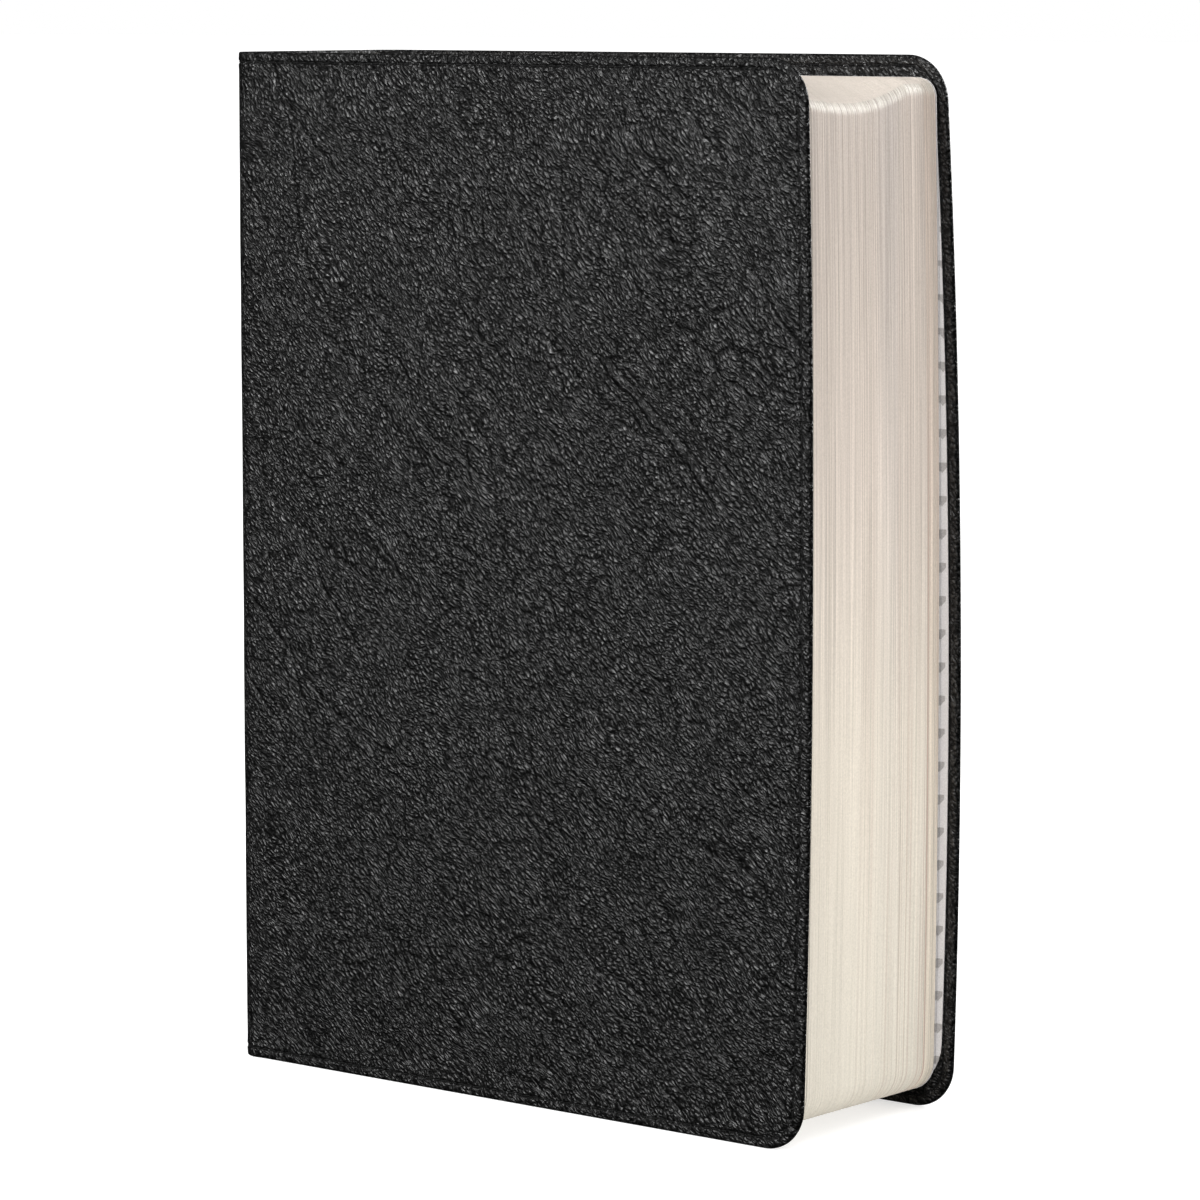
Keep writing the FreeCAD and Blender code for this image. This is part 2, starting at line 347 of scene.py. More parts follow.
# ---- edge stitching
STITCH_LENGTH = 2.05 * MM
STITCH_RADIUS = 0.22 * MM
STITCH_SLANT = math.radians(7)
STITCH_RINGS = 9
STITCH_SPOKES = 8


def add_stitch(vertices, faces, centre, tangent, normal):
    """One stitch: a short rounded run of thread that dips into the leather at both ends."""
    across = normal.cross(tangent).normalized()
    lean = (tangent * math.cos(STITCH_SLANT) + across * math.sin(STITCH_SLANT)).normalized()
    aside = normal.cross(lean).normalized()
    first = len(vertices)
    rings = spaced(-1, 1, STITCH_RINGS)
    spokes = STITCH_SPOKES
    for t in rings:
        girth = STITCH_RADIUS * max(1 - t ** 6, 0.12) ** 0.5
        lift = STITCH_RADIUS * (0.25 - 1.1 * t ** 4)
        middle = centre + lean * (t * STITCH_LENGTH / 2) + normal * lift
        for k in range(spokes):
            angle = 2 * math.pi * k / spokes
            vertices.append(middle + (aside * math.cos(angle) + normal * math.sin(angle)) * girth)
    for r in range(len(rings) - 1):
        for k in range(spokes):
            a = first + r * spokes + k
            b = first + r * spokes + (k + 1) % spokes
            faces.append((a, b, b + spokes, a + spokes))
    faces.append(tuple(first + k for k in reversed(range(spokes))))
    last = first + (len(rings) - 1) * spokes
    faces.append(tuple(last + k for k in range(spokes)))


def stitch_route():
    """A cover's stitch line as (along, z), from the spine seam at the head round to the tail."""
    radius = COVER_CORNER - STITCH_MARGIN
    corner_along = FORE_X - COVER_BOW - COVER_CORNER - HINGE_X
    straight = spaced(-SHOULDER * math.pi / 2, corner_along, 200)
    route = [(s, HEIGHT - STITCH_MARGIN) for s in straight]
    for a in spaced(math.pi / 2, 0, 20)[1:]:
        route.append((corner_along + radius * math.cos(a),
                      HEIGHT - COVER_CORNER + radius * math.sin(a)))
    for z in spaced(HEIGHT - COVER_CORNER, COVER_CORNER, 200)[1:-1]:
        route.append((fore_line(z) - HINGE_X - STITCH_MARGIN, z))
    for a in spaced(0, -math.pi / 2, 20):
        route.append((corner_along + radius * math.cos(a), COVER_CORNER + radius * math.sin(a)))
    route += [(s, STITCH_MARGIN) for s in spaced(corner_along, -SHOULDER * math.pi / 2, 200)[1:]]
    return route


def place_stitches(vertices, faces, points, normals):
    """Stitches at an even pitch along a line of points with the skin's outward normals."""
    lengths = [0.0]
    for before, after in zip(points, points[1:]):
        lengths.append(lengths[-1] + (after - before).length)
    count = int(lengths[-1] / STITCH_PITCH)
    step = lengths[-1] / count
    i = 0
    for k in range(count):
        target = (k + 0.5) * step
        while lengths[i + 1] < target:
            i += 1
        part = (target - lengths[i]) / (lengths[i + 1] - lengths[i])
        centre = points[i].lerp(points[i + 1], part)
        tangent = (points[i + 1] - points[i]).normalized()
        add_stitch(vertices, faces, centre, tangent, normals[i].normalized())


def cover_stitches(name, side, material):
    """The needle thread outside and the bobbin thread inside one cover."""
    vertices = []
    faces = []
    route = stitch_route()
    for outside in (True, False):
        direction = 1 if outside else -1
        points = []
        normals = []
        for along, z in route:
            depth = outer_depth(side, along, z) if outside else inner_depth(along, z)
            surface = Vector(skin_point(side, along, z, depth))
            beneath = Vector(skin_point(side, along, z, depth + 0.1 * MM))
            points.append(surface)
            normals.append((surface - beneath) * direction)
        place_stitches(vertices, faces, points, normals)
    return make_object(name, vertices, faces, material)


def spine_stitches(name, material):
    """The stitching where it crosses the spine near head and tail, outside and inside."""
    vertices = []
    faces = []
    half = OUTER_Y - SHOULDER
    dip = stitch_groove(STITCH_MARGIN)
    for z in (STITCH_MARGIN, HEIGHT - STITCH_MARGIN):
        for x, direction in ((SPINE_X + dip, -1), (SPINE_X + SPINE_THICKNESS - dip, 1)):
            points = [Vector((x, y, z)) for y in spaced(-half, half, 60)]
            place_stitches(vertices, faces, points, [Vector((direction, 0, 0))] * len(points))
    return make_object(name, vertices, faces, material)


# ---- leaves and endpapers
CUT_MIDDLE = 6                                 # mm towards the front from the block's middle
CUT_DEEPEST, CUT_SHALLOWEST = 4.5, 0.6         # mm
CUT_RISE_BACK, CUT_RISE_FRONT = 0.0085, 0.0053
PASTEDOWN_SHY = 0.8 * MM       # how much shorter the pasted-down half is at head and tail
LEAF_SHARP_EDGE = 40           # degrees


def page_fore_line(z):
    """The block's fore-edge before its corners are cut."""
    middle = (PAGE_LOW + PAGE_HIGH) / 2
    t = (z - middle) / ((PAGE_HIGH - PAGE_LOW) / 2 - PAGE_CORNER)
    return PAGE_FORE_X - PAGE_BOW * t * t


def corner_fall(y):
    """How far the trimmed flat at the head corner falls; the middle of the block is cut deepest."""
    away = y / MM + CUT_MIDDLE
    rise = CUT_RISE_BACK if away > 0 else CUT_RISE_FRONT
    return max(CUT_DEEPEST - rise * away ** 2, CUT_SHALLOWEST) * MM


def page_outline(y, inset, columns):
    """A leaf's outline: tail columns, tail corner, fore-edge, head corner, head columns."""
    low = PAGE_LOW + inset
    high = PAGE_HIGH - inset
    loop = [(x, y, low) for x in columns]
    corner_x = page_fore_line(PAGE_LOW + PAGE_CORNER) - inset - PAGE_CORNER
    for a in spaced(-math.pi / 2, 0, 9):
        loop.append((corner_x + PAGE_CORNER * math.cos(a), y,
                     low + PAGE_CORNER * (1 + math.sin(a))))
    fall = corner_fall(y)
    round_start = high - fall - 3.6 * MM
    for z in spaced(low + PAGE_CORNER, round_start, 14)[1:]:
        loop.append((page_fore_line(z) - inset, y, z))
    start_x = page_fore_line(round_start) - inset
    flat_end = (start_x - 2.3 * MM, high - fall)
    flat_start = (start_x - 3.4 * MM - 1.6 * fall, high)
    pull = (start_x - 0.2 * MM, high - fall - 1.2 * MM)
    for t in spaced(0, 1, 8)[1:]:
        x = (1 - t) ** 2 * start_x + 2 * t * (1 - t) * pull[0] + t * t * flat_end[0]
        z = (1 - t) ** 2 * round_start + 2 * t * (1 - t) * pull[1] + t * t * flat_end[1]
        loop.append((x, y, z))
    for t in (0.5, 1.0):
        loop.append((flat_end[0] + (flat_start[0] - flat_end[0]) * t, y, flat_end[1] + fall * t))
    loop += [(x, y, high) for x in reversed(columns)]
    return loop


def pastedown_outline(y, inset, columns):
    """The pasted-down endpaper's outline: as tall as the pages, and bowed like the cover."""
    low = PAGE_LOW + PASTEDOWN_SHY + inset
    high = PAGE_HIGH - PASTEDOWN_SHY - inset
    edge_x = FORE_X - COVER_BOW - PASTEDOWN_MARGIN
    corner_x = edge_x - PASTEDOWN_CORNER
    loop = [(x, y, low) for x in columns]
    for a in spaced(-math.pi / 2, 0, 9):
        loop.append((corner_x + PASTEDOWN_CORNER * math.cos(a), y,
                     low + PASTEDOWN_CORNER * (1 + math.sin(a))))
    for z in spaced(low + PASTEDOWN_CORNER, high - PASTEDOWN_CORNER, 16)[1:-1]:
        t = (2 * z - low - high) / (high - low - 2 * PASTEDOWN_CORNER)
        loop.append((edge_x + COVER_BOW * (1 - t * t), y, z))
    for a in spaced(0, math.pi / 2, 9):
        loop.append((corner_x + PASTEDOWN_CORNER * math.cos(a), y,
                     high - PASTEDOWN_CORNER * (1 - math.sin(a))))
    loop += [(x, y, high) for x in reversed(columns)]
    return loop


def add_loft(vertices, faces, outline, stations, columns):
    """A closed stack of outlines at (y, inset) stations; its end faces divide at the columns."""
    first = len(vertices)
    size = 0
    for y, inset in stations:
        loop = outline(y, inset, columns)
        size = len(loop)
        vertices.extend(loop)
    for s in range(len(stations) - 1):
        for i in range(size):
            a = first + s * size + i
            b = first + s * size + (i + 1) % size
            faces.append((a, b, b + size, a + size))
    for base in (first, first + (len(stations) - 1) * size):
        for i in range(len(columns) - 1):
            faces.append((base + i, base + i + 1, base + size - 2 - i, base + size - 1 - i))
        inner = range(len(columns) - 1, size - len(columns) + 1)
        faces.append(tuple(base + i for i in inner))


def leaf_stations(y_from, y_to, spacing, roughness):
    """Stations across a stack of leaves, each leaf edge standing a little in or out."""
    count = max(int(round((y_to - y_from) / spacing)), 1)
    stations = []
    for k, y in enumerate(spaced(y_from, y_to, count + 1)):
        settle = 0.025 * MM if k in (0, count) else 0.0
        stations.append((y, settle + abs(DICE.gauss(0, roughness))))
    return stations


def text_section(number, material):
    """One sewn section of the middle of the block."""
    node = "text_section_%02d" % number
    low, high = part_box(node)
    vertices = []
    faces = []
    columns = [SEWN_X + 0.4 * MM, SEWN_X + 6 * MM]
    stations = leaf_stations(low.y, high.y, 0.19 * MM, 0.028 * MM)
    add_loft(vertices, faces, page_outline, stations, columns)
    piece = make_object("leaves_%02d" % number, vertices, faces, material,
                        sharp_angle=LEAF_SHARP_EDGE, lean=PAGE_LEAN)
    lay_paper_faces(piece)
    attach(piece, "text_block")
    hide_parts(node)


def turning_section(name, index, material, packs, roughness):
    """The leaves of an outer section, sewn at the spine, made as a few thin packs."""
    body = "%s_leaves_%d" % (name, index)
    node = "%s_section_%d_leaves" % (name, index)
    low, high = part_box(node)
    fold_x = JOINTS[body + "_fold"]["pos_m"][0]
    share = 0.13 * MM
    y_edges = spaced(low.y - share, high.y + share, packs + 1)
    bending = spaced(fold_x - 1 * MM, fold_x + 8 * MM, 19)
    columns = [SEWN_X + 0.4 * MM] + bending + [fold_x + 12 * MM]
    vertices = []
    faces = []
    for y_from, y_to in zip(y_edges, y_edges[1:]):
        gap = 0.015 * MM
        stations = leaf_stations(y_from + gap, y_to - gap, 0.2 * MM, roughness)
        add_loft(vertices, faces, page_outline, stations, columns)
    piece = make_object("%s_turning_leaves_%d" % (name, index), vertices, faces, material,
                        sharp_angle=LEAF_SHARP_EDGE, lean=PAGE_LEAN)
    lay_paper_faces(piece)
    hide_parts(node, "%s_section_%d_gutter" % (name, index))
    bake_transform(piece)


def flyleaf(name, material):
    """The loose half of an endpaper."""
    node = name + "_flyleaf"
    low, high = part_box(node)
    fold_x = JOINTS[name + "_flyleaf_fold"]["pos_m"][0]
    middle_y = (low.y + high.y) / 2
    columns = spaced(fold_x - 0.3 * MM, fold_x + 6 * MM, 15) + [fold_x + 10 * MM]
    vertices = []
    faces = []
    stations = [(middle_y - 0.07 * MM, 0.0), (middle_y + 0.07 * MM, 0.0)]
    add_loft(vertices, faces, page_outline, stations, columns)
    piece = make_object(name + "_loose_endpaper", vertices, faces, material,
                        sharp_angle=LEAF_SHARP_EDGE, lean=PAGE_LEAN)
    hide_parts(node)
    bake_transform(piece)


def pasted_endpaper(name, side, material):
    """The pasted-down half of an endpaper, flat on the inside of the cover."""
    inner = OUTER_Y - COVER_THICKNESS
    columns = spaced(HINGE_X - 1.4 * MM, HINGE_X + 4.5 * MM, 15) + [HINGE_X + 8 * MM]
    y_pair = sorted((side * (inner + 0.02 * MM), side * (inner - PASTEDOWN)))
    vertices = []
    faces = []
    add_loft(vertices, faces, pastedown_outline, [(y_pair[0], 0.0), (y_pair[1], 0.0)], columns)
    piece = make_object(name + "_pasted_endpaper", vertices, faces, material,
                        sharp_angle=LEAF_SHARP_EDGE)
    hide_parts(name + "_pastedown")
    bend_at_hinge(piece)


def endpaper_strip(name, side, material):
    """The strip of endpaper glued beside the spine, folded back to meet the pasted-down half."""
    node = name + "_endpaper_joint"
    low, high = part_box(node)
    outer = max(abs(low.y), abs(high.y))
    inner = min(abs(low.y), abs(high.y))
    fold_y = OUTER_Y - COVER_THICKNESS - PASTEDOWN
    fold_x = HINGE_X - 1.4 * MM
    radius = (fold_y - inner) / 2
    path = [(high.x, inner), (high.x, outer)]
    path += [(fold_x + 0.2 * MM, outer), (fold_x, (outer + fold_y) / 2),
             (fold_x + 0.2 * MM, fold_y)]
    for a in spaced(math.pi / 2, -math.pi / 2, 9)[1:-1]:
        path.append((fold_x - radius * math.cos(a), (fold_y + inner) / 2 + radius * math.sin(a)))
    path.append((fold_x, inner))
    vertices = []
    for z in (PAGE_LOW, PAGE_HIGH):
        vertices += [(x, side * y, z) for x, y in path]
    size = len(path)
    faces = [tuple(range(size)), tuple(range(2 * size - 1, size - 1, -1))]
    for i in range(size):
        after = (i + 1) % size
        faces.append((i, after, after + size, i + size))
    piece = make_object(name + "_endpaper_strip", vertices, faces, material,
                        sharp_angle=LEAF_SHARP_EDGE)
    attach(piece, "text_block")
    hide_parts(node)


def bend_at_hinge(piece):
    """Bakes a skin's placement into its mesh; it is not bent at the hinge."""
    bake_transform(piece)


# ---- head and tail bands
def band(node, material):
    """A cloth band wound over a core, ribbed by its windings."""
    low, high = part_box(node)
    middle_x = (low.x + high.x) / 2
    middle_z = (low.z + high.z) / 2
    radius = (high.z - low.z) / 2
    rib = 0.9 * MM
    steps = int((high.y - low.y) / rib) * 6
    spokes = 12
    vertices = []
    for y in spaced(low.y, high.y, steps + 1):
        swell = abs(math.sin(math.pi * (y - low.y) / rib))
        girth = radius * (0.82 + 0.18 * swell ** 0.6)
        for k in range(spokes):
            a = 2 * math.pi * k / spokes
            vertices.append((middle_x + girth * math.cos(a), y, middle_z + girth * math.sin(a)))
    faces = [tuple(range(spokes)), tuple(range(len(vertices) - 1, len(vertices) - spokes - 1, -1))]
    for s in range(steps):
        for k in range(spokes):
            a = s * spokes + k
            b = s * spokes + (k + 1) % spokes
            faces.append((a, b, b + spokes, a + spokes))
    piece = make_object(node + "_wound", vertices, faces, material)
    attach(piece, "text_block")
    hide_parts(node)


# ---- materials
def new_material(name, **values):
    """A material with its principled shader; values are the shader's own sockets."""
    material = bpy.data.materials.new(name)
    material.use_nodes = True
    tree = material.node_tree
    shader = tree.nodes["Principled BSDF"]
    for key, value in values.items():
        shader.inputs[key.replace("_", " ")].default_value = value
    return material, tree, shader


def add_node(tree, kind, inputs=None, **settings):
    """A node whose inputs are given as values, or as sockets to link from."""
    item = tree.nodes.new(kind)
    for key, value in settings.items():
        setattr(item, key, value)
    for key, value in (inputs or {}).items():
        if isinstance(value, bpy.types.NodeSocket):
            tree.links.new(value, item.inputs[key])
        else:
            item.inputs[key].default_value = value
    return item


def math_node(tree, operation, first, second=0.0, third=0.0):
    """The result of one operation on sockets or numbers."""
    item = add_node(tree, "ShaderNodeMath", {0: first, 1: second, 2: third}, operation=operation)
    return item.outputs[0]


def colour_ramp(tree, factor, stops):
    """A ramp of (position, grey level or colour) stops."""
    item = add_node(tree, "ShaderNodeValToRGB", {"Fac": factor})
    ramp = item.color_ramp
    while len(ramp.elements) < len(stops):
        ramp.elements.new(0.5)
    for element, (position, colour) in zip(ramp.elements, stops):
        element.position = position
        channels = colour if isinstance(colour, tuple) else (colour, colour, colour)
        element.color = (*channels, 1.0)
    return item.outputs["Color"]


def rest_coordinates(tree):
    """Where a point lies with the book shut, so that a pattern stays put on a leaf as it turns."""
    return add_node(tree, "ShaderNodeAttribute", attribute_name="rest_place").outputs["Vector"]


def object_coordinates(tree):
    return add_node(tree, "ShaderNodeTexCoord").outputs["Object"]


def stretched(tree, vector, scale, rotation=(0, 0, 0)):
    """Coordinates turned by rotation and then divided by scale along each turned axis."""
    inputs = {"Vector": vector, "Rotation": rotation, "Scale": scale}
    return add_node(tree, "ShaderNodeMapping", inputs, vector_type="TEXTURE").outputs["Vector"]


def noise_value(tree, vector, scale, detail=2.0, roughness=0.5):
    inputs = {"Vector": vector, "Scale": scale, "Detail": detail, "Roughness": roughness}
    return add_node(tree, "ShaderNodeTexNoise", inputs).outputs["Fac"]


COLOUR_MIX_INPUTS = (0, 6, 7)
COLOUR_MIX_RESULT = 2


def mix_colours(tree, factor, first, second, blend="MIX"):
    item = add_node(tree, "ShaderNodeMix", data_type="RGBA", blend_type=blend)
    for index, value in zip(COLOUR_MIX_INPUTS, (factor, first, second)):
        if isinstance(value, bpy.types.NodeSocket):
            tree.links.new(value, item.inputs[index])
        else:
            item.inputs[index].default_value = value
    return item.outputs[COLOUR_MIX_RESULT]


def add_bump(tree, shader, height, distance, strength=1.0):
    inputs = {"Height": height, "Distance": distance, "Strength": strength}
    bump = add_node(tree, "ShaderNodeBump", inputs)
    tree.links.new(bump.outputs["Normal"], shader.inputs["Normal"])


def drifted(tree, place, scale, distance):
    """Coordinates pushed about by noise, by up to half of distance."""
    drift = add_node(tree, "ShaderNodeTexNoise", {"Vector": place, "Scale": scale, "Detail": 2.0})
    centred = add_node(tree, "ShaderNodeVectorMath",
                       {0: drift.outputs["Color"], 1: (0.5, 0.5, 0.5)}, operation="SUBTRACT")
    push = add_node(tree, "ShaderNodeVectorMath",
                    {0: centred.outputs[0], "Scale": distance * 2}, operation="SCALE")
    return add_node(tree, "ShaderNodeVectorMath", {0: place, 1: push.outputs[0]},
                    operation="ADD").outputs[0]


def smooth_range(tree, value, low, high, to_low=0.0, to_high=1.0):
    """A smooth change from to_low to to_high as value goes from low to high."""
    inputs = {"Value": value, "From Min": low, "From Max": high,
              "To Min": to_low, "To Max": to_high}
    return add_node(tree, "ShaderNodeMapRange", inputs,
                    interpolation_type="SMOOTHSTEP").outputs["Result"]


def plain_range(tree, value, low, high, to_low=0.0, to_high=1.0):
    """A straight change from to_low to to_high as value goes from low to high."""
    inputs = {"Value": value, "From Min": low, "From Max": high,
              "To Min": to_low, "To Max": to_high}
    return add_node(tree, "ShaderNodeMapRange", inputs).outputs["Result"]


def cell_borders(tree, vector, scale):
    """Distance from the borders of a pattern of cells."""
    return add_node(tree, "ShaderNodeTexVoronoi", {"Vector": vector, "Scale": scale},
                    feature="DISTANCE_TO_EDGE").outputs["Distance"]


CREASE_HALF_WIDTH = 0.0011
FRONT_ONLY = (-0.024, -0.022)          # Y over which a crease fades out behind the front cover
# Long creases of the front cover: x, z, angle in degrees, length, and height in the bump's units.
CREASES = (
    (0.045, 0.160, 44, 0.055, -0.7),
    (0.0435, 0.1585, 44, 0.052, 1.1),
    (0.056, 0.157, 47, 0.030, -0.6),
    (0.030, 0.170, 40, 0.024, -0.5),
)
# Soft folds of the hide: angle in degrees, scale of their noise, and where in it they lie.
FOLDS = ((42, 34.0, 0.0), (80, 30.0, 0.37))
RIPPLE_SCALE = 1300.0
PEBBLE_SCALE = 1100.0
NET_SCALE = 260.0
LEATHER_RELIEF = 0.00052
# Painted shade: the leather's valleys take the first, darker colour; its crests take the second.
LEATHER_SHADED_VALLEY = (0.0006, 0.0006, 0.0006)
LEATHER_CREST = (0.0027, 0.0025, 0.0024)


def long_crease(tree, place, x, z, angle, length):
    """One on a crease line across the front cover, falling to nothing beside it and at its ends."""
    moved = add_node(tree, "ShaderNodeVectorMath", {0: place, 1: (x, 0, z)},
                     operation="SUBTRACT").outputs[0]
    turned = stretched(tree, moved, (1, 1, 1), (0, math.radians(angle), 0))
    axis = add_node(tree, "ShaderNodeSeparateXYZ", {"Vector": turned}).outputs
    depth = add_node(tree, "ShaderNodeSeparateXYZ", {"Vector": place}).outputs["Y"]
    beside = smooth_range(tree, math_node(tree, "ABSOLUTE", axis["Z"]),
                          0.0, CREASE_HALF_WIDTH, 1.0, 0.0)
    ends = smooth_range(tree, math_node(tree, "ABSOLUTE", axis["X"]),
                        length * 0.3, length / 2, 1.0, 0.0)
    front = smooth_range(tree, depth, *FRONT_ONLY, 1.0, 0.0)
    line = math_node(tree, "MULTIPLY", beside, ends)
    return math_node(tree, "MULTIPLY", line, front)


def leather_material():
    """Black full-grain leather: slanting pebbles, a net of creases, soft folds, long creases;
    painted shade darkens the colour and the sheen in the valleys.
    """
    material, tree, shader = new_material("black_leather", **{"Specular_IOR_Level": 1.0})
    place = rest_coordinates(tree)
    warped = drifted(tree, place, 60.0, 0.003)
    jittered = drifted(tree, warped, 600.0, 0.0003)
    slant = stretched(tree, jittered, (2.5, 1.0, 1.0), (0, math.radians(42), 0))
    ripple = noise_value(tree, slant, RIPPLE_SCALE, 2.0, 0.55)
    pebble_lie = stretched(tree, jittered, (1.8, 1.0, 1.0), (0, math.radians(38), 0))
    pebbles = smooth_range(tree, cell_borders(tree, pebble_lie, PEBBLE_SCALE), 0.0, 0.34)
    patch = noise_value(tree, place, 20.0, 3.0, 0.6)
    net_lie = stretched(tree, warped, (1.8, 1.0, 1.0), (0, math.radians(48), 0))
    net = smooth_range(tree, cell_borders(tree, net_lie, NET_SCALE), 0.0, 0.12)
    net_patch = noise_value(tree, place, 45.0, 2.0)
    net_depth = smooth_range(tree, net_patch, 0.35, 0.65, 0.05, 0.36)
    folds = None
    for turn, scale, start in FOLDS:
        moved = add_node(tree, "ShaderNodeVectorMath", {0: warped, 1: (start, start, start)},
                         operation="ADD").outputs[0]
        fold_lie = stretched(tree, moved, (4.0, 1.0, 1.0), (0, math.radians(turn), 0))
        wave = noise_value(tree, fold_lie, scale, 2.0, 0.45)
        crest = math_node(tree, "ABSOLUTE", math_node(tree, "SUBTRACT", wave, 0.5))
        crest = smooth_range(tree, crest, 0.0, 0.022)
        folds = crest if folds is None else math_node(tree, "MULTIPLY", folds, crest)
    fold_patch = noise_value(tree, place, 13.0, 1.0)
    fold_depth = smooth_range(tree, fold_patch, 0.40, 0.62, 0.10, 0.60)
    boldness = smooth_range(tree, patch, 0.3, 0.7, 0.26, 0.44)
    bold_pebbles = math_node(tree, "MULTIPLY", pebbles, boldness)
    grain = math_node(tree, "MULTIPLY_ADD", ripple, 1.0, bold_pebbles)
    height = math_node(tree, "MULTIPLY_ADD", net, net_depth, grain)
    height = math_node(tree, "MULTIPLY_ADD", folds, fold_depth, height)
    for x, z, angle, length, rise in CREASES:
        crease = long_crease(tree, warped, x, z, angle, length)
        height = math_node(tree, "MULTIPLY_ADD", crease, rise, height)
    add_bump(tree, shader, height, LEATHER_RELIEF)
    # Painted shade: the valleys of the pebbles, ripples and net get a darker base colour and a
    # dimmer specular tint (hollow).
    valleys = math_node(tree, "MULTIPLY_ADD", math_node(tree, "SUBTRACT", net, 1.0), 0.14, grain)
    tone = colour_ramp(tree, valleys, [(0.40, LEATHER_SHADED_VALLEY), (0.95, LEATHER_CREST)])
    tree.links.new(tone, shader.inputs["Base Color"])
    hollow = colour_ramp(tree, valleys, [(0.45, 0.20), (0.76, 1.0)])
    tree.links.new(hollow, shader.inputs["Specular Tint"])
    rough = smooth_range(tree, valleys, 0.4, 0.95, 0.52, 0.42)
    tree.links.new(rough, shader.inputs["Roughness"])
    return material


def thread_material():
    """Black waxed thread with a fine twist."""
    material, tree, shader = new_material("black_thread", **{"Specular_IOR_Level": 0.2})
    place = object_coordinates(tree)
    twist = add_node(tree, "ShaderNodeTexWave",
                     {"Vector": place, "Scale": 900.0, "Distortion": 1.5},
                     bands_direction="DIAGONAL").outputs["Fac"]
    add_bump(tree, shader, twist, 0.00005, 0.6)
    tone = colour_ramp(tree, twist, [(0.0, 0.002), (1.0, 0.006)])
    tree.links.new(tone, shader.inputs["Base Color"])
    rough = colour_ramp(tree, twist, [(0.0, 0.75), (1.0, 0.6)])
    tree.links.new(rough, shader.inputs["Roughness"])
    return material


def streaks(tree, place, across, along, detail=3.0):
    """Noise drawn out along the leaves' edges: quick across the block, slow along X and Z."""
    vector = stretched(tree, place, (1 / along, 1 / across, 1 / along))
    return noise_value(tree, vector, 1.0, detail, 0.6)


# Edge tones by height from tail to head.
GILT_FROM_TAIL = [(0.0, (0.632, 0.588, 0.502)), (0.35, (0.665, 0.602, 0.512)),
                  (0.62, (0.590, 0.515, 0.450)), (1.0, (0.448, 0.387, 0.341))]
FLAT_GILT = [(0.3, (0.525, 0.470, 0.415)), (0.7, (0.56, 0.50, 0.443))]   # on the cut head corner
# Painted highlight: the lighter colour given to the rounding at the head corner.
ROUNDED_HIGHLIGHT = (0.56, 0.53, 0.47, 1.0)     # where the fore-edge turns into the head corner
GREY_BAND_Y = 0.0075                       # a greyer stretch of the edge, strongest at the head
GREY_BAND_TINT = (0.915, 0.935, 0.965, 1.0)


